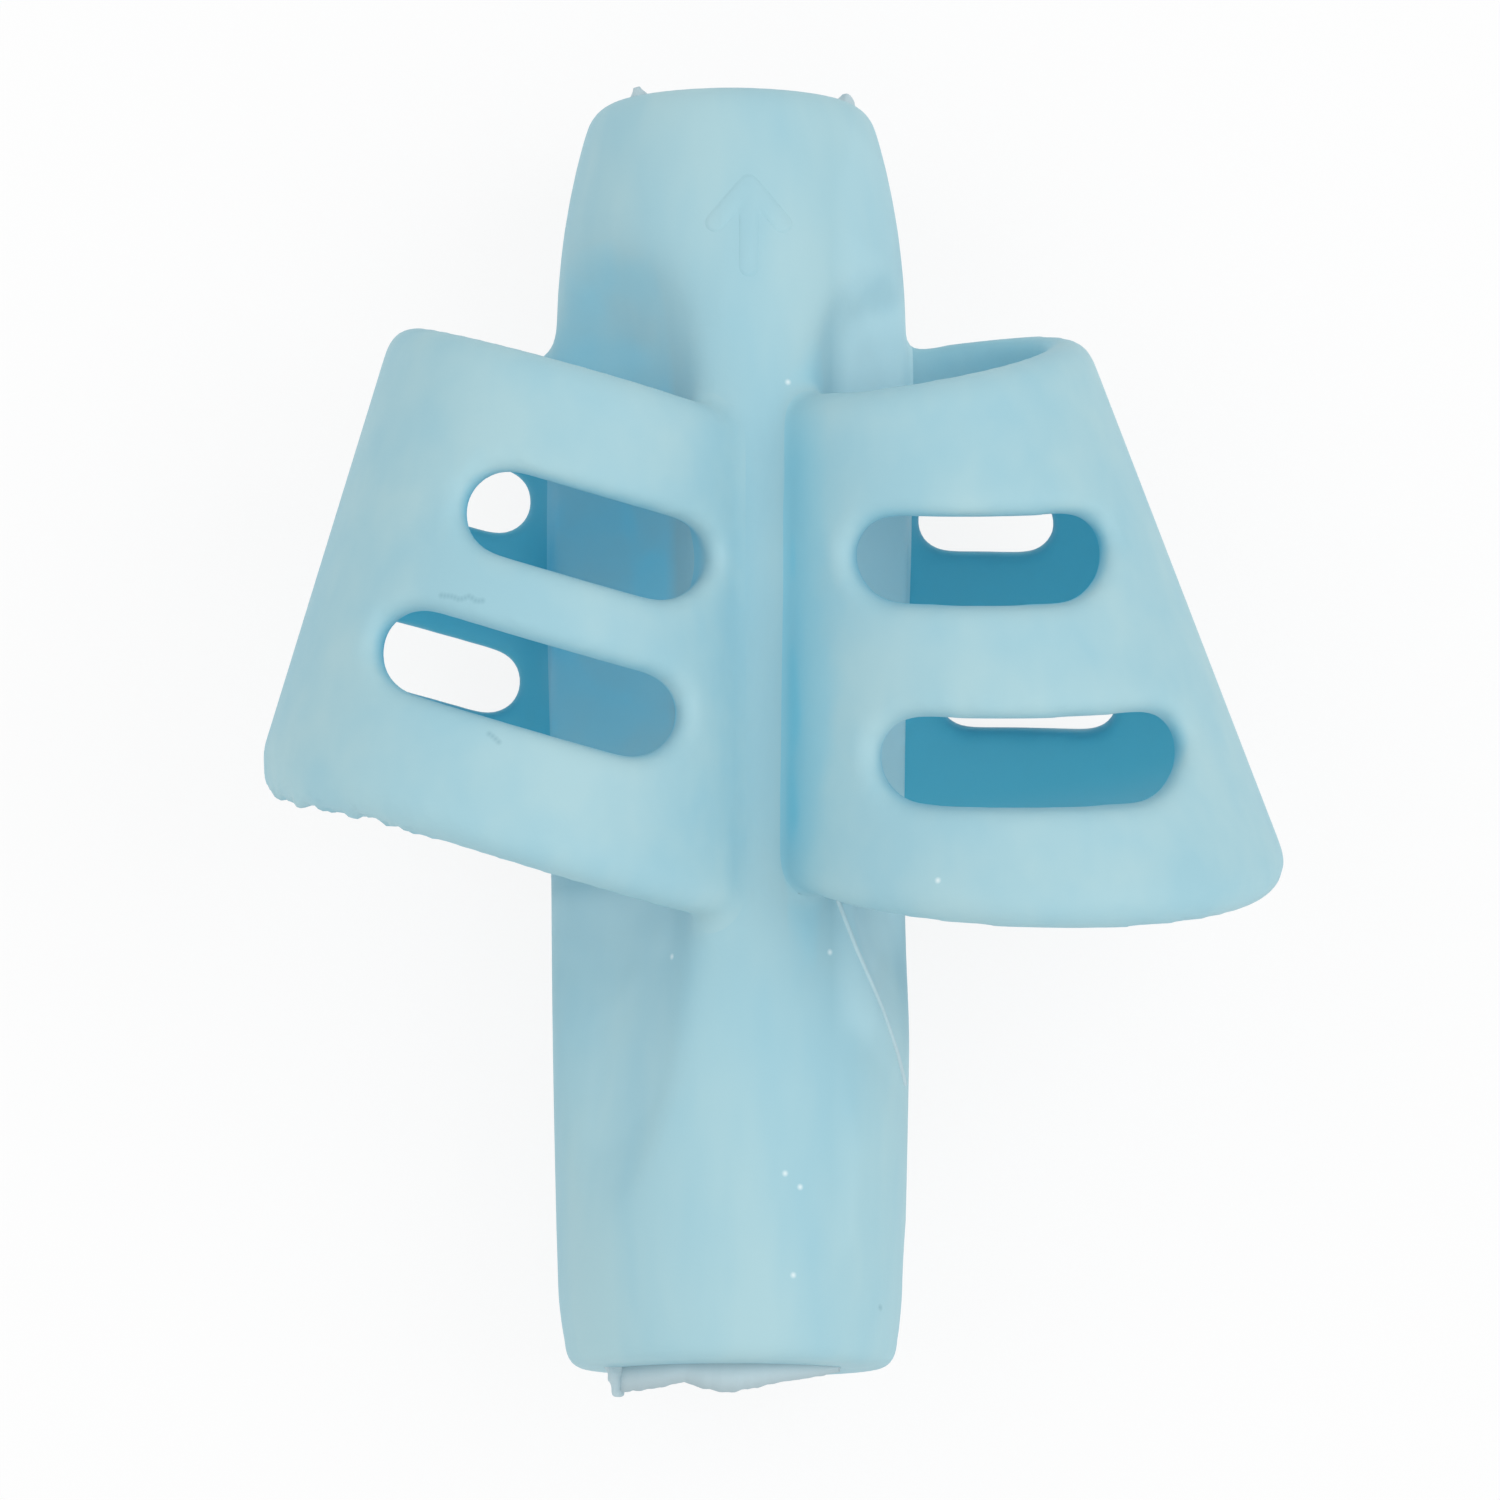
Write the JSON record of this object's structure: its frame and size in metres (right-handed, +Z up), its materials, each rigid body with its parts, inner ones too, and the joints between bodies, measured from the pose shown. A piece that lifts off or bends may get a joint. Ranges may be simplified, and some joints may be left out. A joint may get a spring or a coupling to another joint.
{
  "type": "pencil grip",
  "caption": "Soft silicone pencil grip: a tapered sleeve for the pencil with a flared, slotted thumb pocket and index finger pocket that hold the fingers in a writing pinch.",
  "frame": {"origin": "on the axis of the pencil bore, halfway along the sleeve", "axes": "+Y along the pencil bore towards the tip end that the arrow points to, +Z up out of the front that the arrow is on as the grip lies on its back, +X towards the index pocket"},
  "size_m": [0.0391, 0.0492, 0.0214],
  "materials": {
    "sleeve_silicone": "matte light blue silicone",
    "thumb_silicone": "matte light blue silicone",
    "index_silicone": "matte light blue silicone"
  },
  "bodies": {
    "root": {"pencil_sleeve": "sleeve_silicone", "thumb_pocket": "thumb_silicone", "index_pocket": "index_silicone"}
  },
  "joints": []
}
